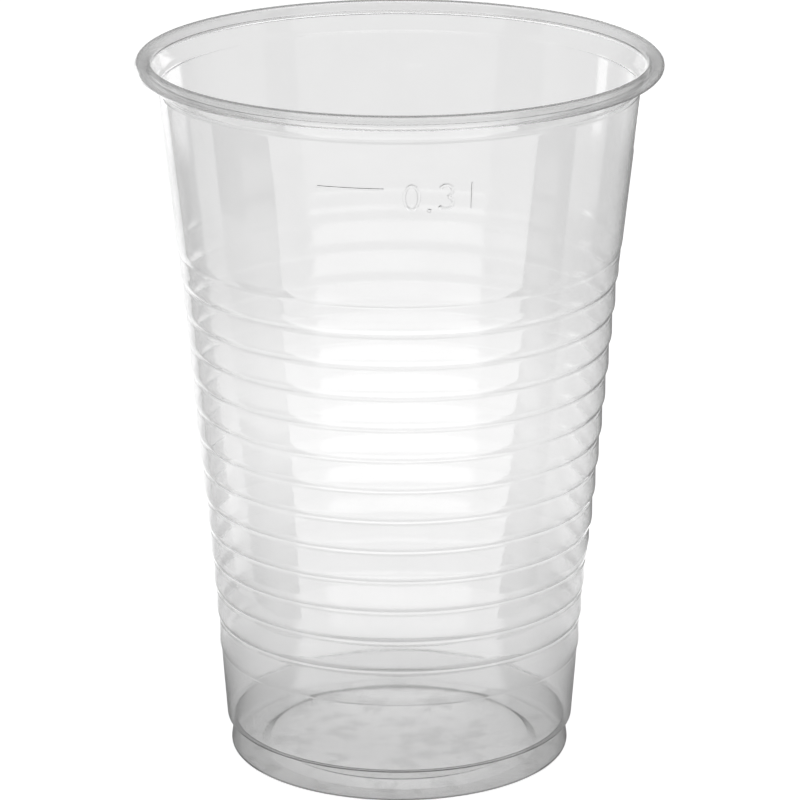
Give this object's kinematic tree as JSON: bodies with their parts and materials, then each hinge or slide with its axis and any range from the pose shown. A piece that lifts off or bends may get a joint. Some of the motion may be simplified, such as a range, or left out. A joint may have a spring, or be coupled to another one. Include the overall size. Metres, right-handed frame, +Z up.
{
  "type": "plastic disposable cup",
  "caption": "Clear disposable drinking cup of thin formed plastic: rolled rim, smooth upper wall with a fill line, stepped grip rings, set-in foot and raised base panel.",
  "frame": {"origin": "centre of the flat ring that the cup stands on, at ground height", "axes": "+Z up along the cup's axis; -Y faces the side with the fill line"},
  "size_m": [0.081, 0.081, 0.112],
  "materials": {
    "clear_plastic": "clear, glossy, slightly milky formed polypropylene"
  },
  "bodies": {
    "root": {"cup": "clear_plastic"}
  },
  "joints": []
}
